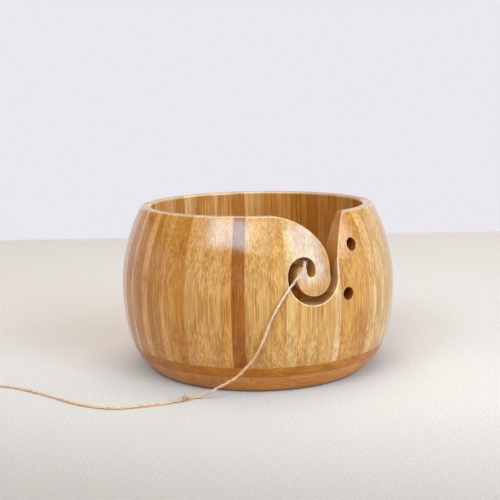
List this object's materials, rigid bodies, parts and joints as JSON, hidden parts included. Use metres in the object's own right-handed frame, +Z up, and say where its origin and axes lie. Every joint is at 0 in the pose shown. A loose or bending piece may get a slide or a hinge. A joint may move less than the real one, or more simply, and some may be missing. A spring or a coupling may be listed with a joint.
{
  "type": "yarn bowl",
  "caption": "Round barrel-shaped yarn bowl of upright bamboo strips on a two-ply base, with a spiral yarn slot, needle holes, and a ball of twine led out through the slot.",
  "frame": {"origin": "centre of the resting face, on the surface the bowl stands on", "axes": "+Z up, -Y towards the side with the spiral slot, +X to the right as seen facing the slot"},
  "size_m": [0.2263, 0.151, 0.0895],
  "materials": {
    "bamboo_straw": "clear satin lacquer",
    "bamboo_honey": "clear satin lacquer",
    "bamboo_tan": "clear satin lacquer",
    "bamboo_caramel": "clear satin lacquer",
    "base_upper": "clear satin lacquer",
    "base_lower": "clear satin lacquer",
    "jute_twine": "hairy natural jute"
  },
  "bodies": {
    "bowl": {"wall_strip_01": "bamboo_straw", "wall_strip_02": "bamboo_tan", "wall_strip_03": "bamboo_straw", "wall_strip_04": "bamboo_tan", "wall_strip_05": "bamboo_tan", "wall_strip_06": "bamboo_straw", "wall_strip_07": "bamboo_tan", "wall_strip_08": "bamboo_tan", "wall_strip_09": "bamboo_honey", "wall_strip_10": "bamboo_honey", "wall_strip_11": "bamboo_tan", "wall_strip_12": "bamboo_caramel", "wall_strip_13": "bamboo_honey", "wall_strip_14": "bamboo_honey", "wall_strip_15": "bamboo_straw", "wall_strip_16": "bamboo_straw", "wall_strip_17": "bamboo_straw", "wall_strip_18": "bamboo_honey", "wall_strip_19": "bamboo_straw", "wall_strip_20": "bamboo_tan", "wall_strip_21": "bamboo_straw", "wall_strip_22": "bamboo_straw", "wall_strip_23": "bamboo_straw", "wall_strip_24": "bamboo_straw", "wall_strip_25": "bamboo_honey", "wall_strip_26": "bamboo_straw", "wall_strip_27": "bamboo_tan", "wall_strip_28": "bamboo_tan", "wall_strip_29": "bamboo_tan", "wall_strip_30": "bamboo_tan", "wall_strip_31": "bamboo_tan", "wall_strip_32": "bamboo_tan", "wall_strip_33": "bamboo_tan", "wall_strip_34": "bamboo_tan", "wall_strip_35": "bamboo_tan", "wall_strip_36": "bamboo_tan", "wall_strip_37": "bamboo_honey", "wall_strip_38": "bamboo_tan", "wall_strip_39": "bamboo_tan", "wall_strip_40": "bamboo_honey", "wall_strip_41": "bamboo_tan", "wall_strip_42": "bamboo_straw", "wall_strip_43": "bamboo_tan", "wall_strip_44": "bamboo_straw", "wall_strip_45": "bamboo_tan", "wall_strip_46": "bamboo_straw", "wall_strip_47": "bamboo_tan", "wall_strip_48": "bamboo_honey", "wall_strip_49": "bamboo_tan", "wall_strip_50": "bamboo_straw", "wall_strip_51": "bamboo_tan", "base_upper_ply": "base_upper", "base_lower_ply": "base_lower", "twine_strand": "jute_twine"},
    "ball": {"twine_ball": "jute_twine"}
  },
  "joints": [
    {"name": "ball_turn", "type": "hinge", "parent": "bowl", "child": "ball", "pos_m": [-0.004, 0.008, 0.0416], "axis": [0, 0, 1], "continuous": true}
  ]
}
